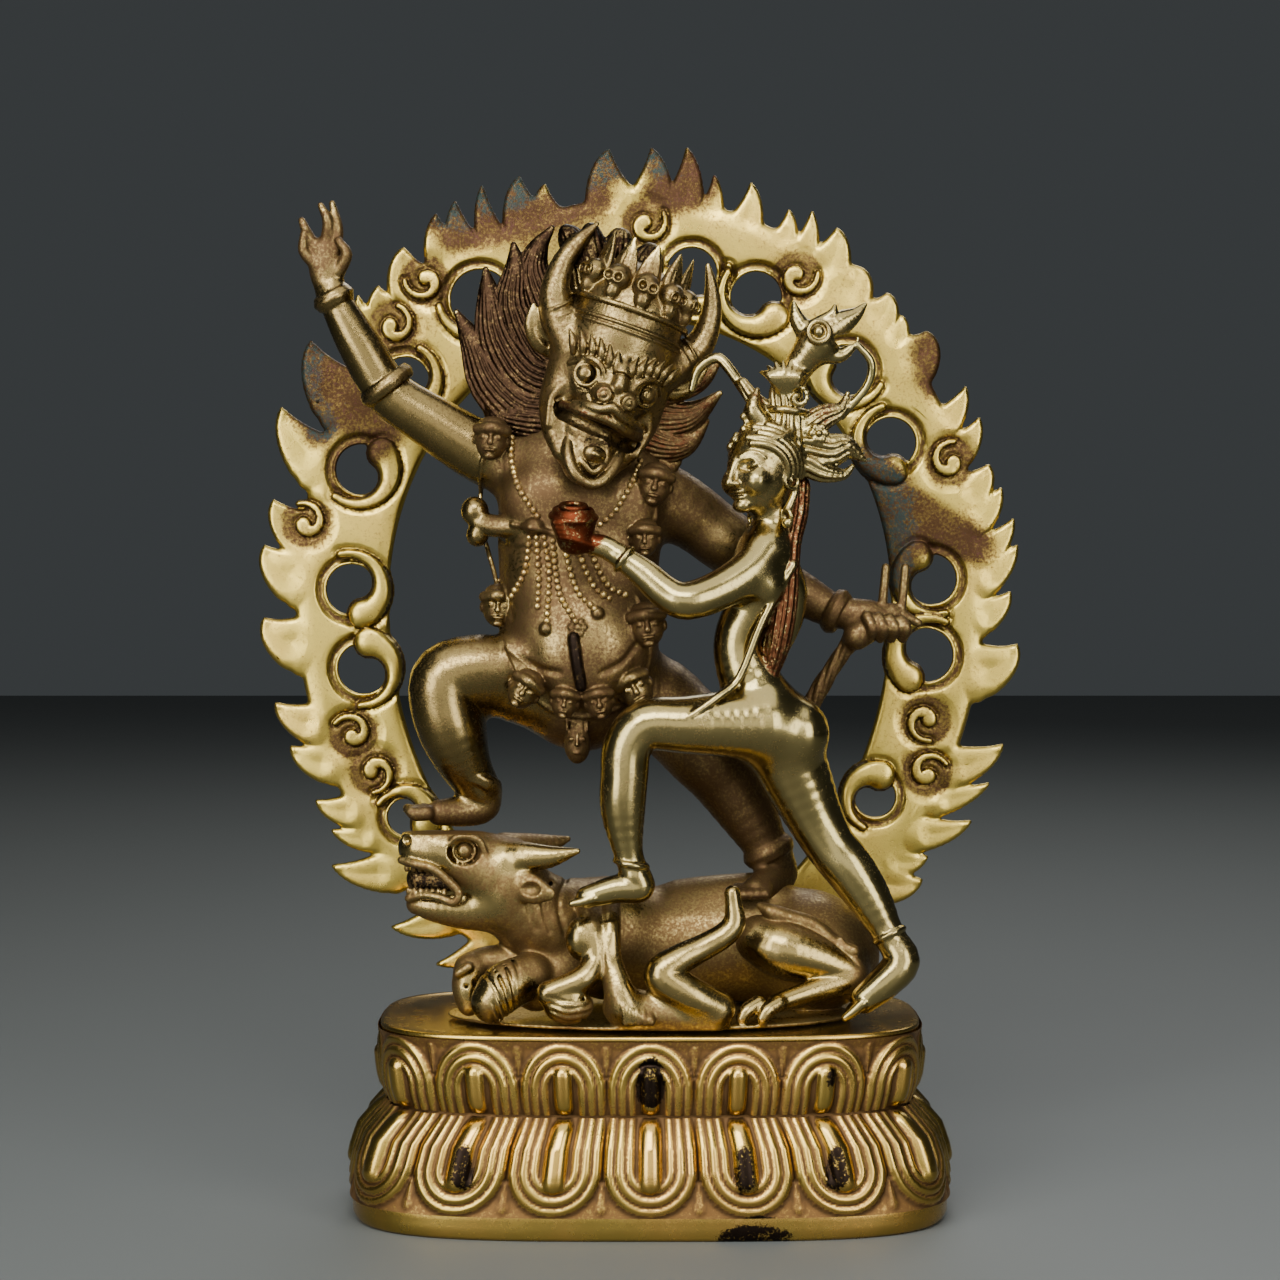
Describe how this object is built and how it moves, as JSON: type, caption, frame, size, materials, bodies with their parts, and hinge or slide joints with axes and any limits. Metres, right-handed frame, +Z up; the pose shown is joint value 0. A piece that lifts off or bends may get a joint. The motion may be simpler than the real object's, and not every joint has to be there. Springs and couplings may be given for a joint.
{
  "type": "gilt copper deity figure group on a lotus plinth",
  "caption": "Gilt cast-copper figure group: a horned, buffalo-headed guardian and his consort stride on a lying buffalo, on a lotus plinth inside a ring of flames.",
  "frame": {"origin": "middle of the plinth's underside", "axes": "+Z up, +X to the viewer's right, +Y away from the viewer, so the statue faces -Y"},
  "size_m": [0.2437, 0.1052, 0.3285],
  "materials": {
    "plinth_gilt": "satin, worn gilding over copper, brown in the recesses",
    "ring_gilt": "satin, pale gilding with black pits, green and red corrosion in patches",
    "mount_gilt": "satin, polished on the raised parts, brown in the recesses",
    "guardian_gilt": "polished on one arm and one leg, matt and brown on the trunk, dark brown hair",
    "consort_gilt": "polished, with brown hair and traces of red"
  },
  "bodies": {
    "root": {"lotus_plinth": "plinth_gilt", "flame_ring": "ring_gilt", "buffalo_mount": "mount_gilt", "guardian": "guardian_gilt", "consort": "consort_gilt"}
  },
  "joints": []
}
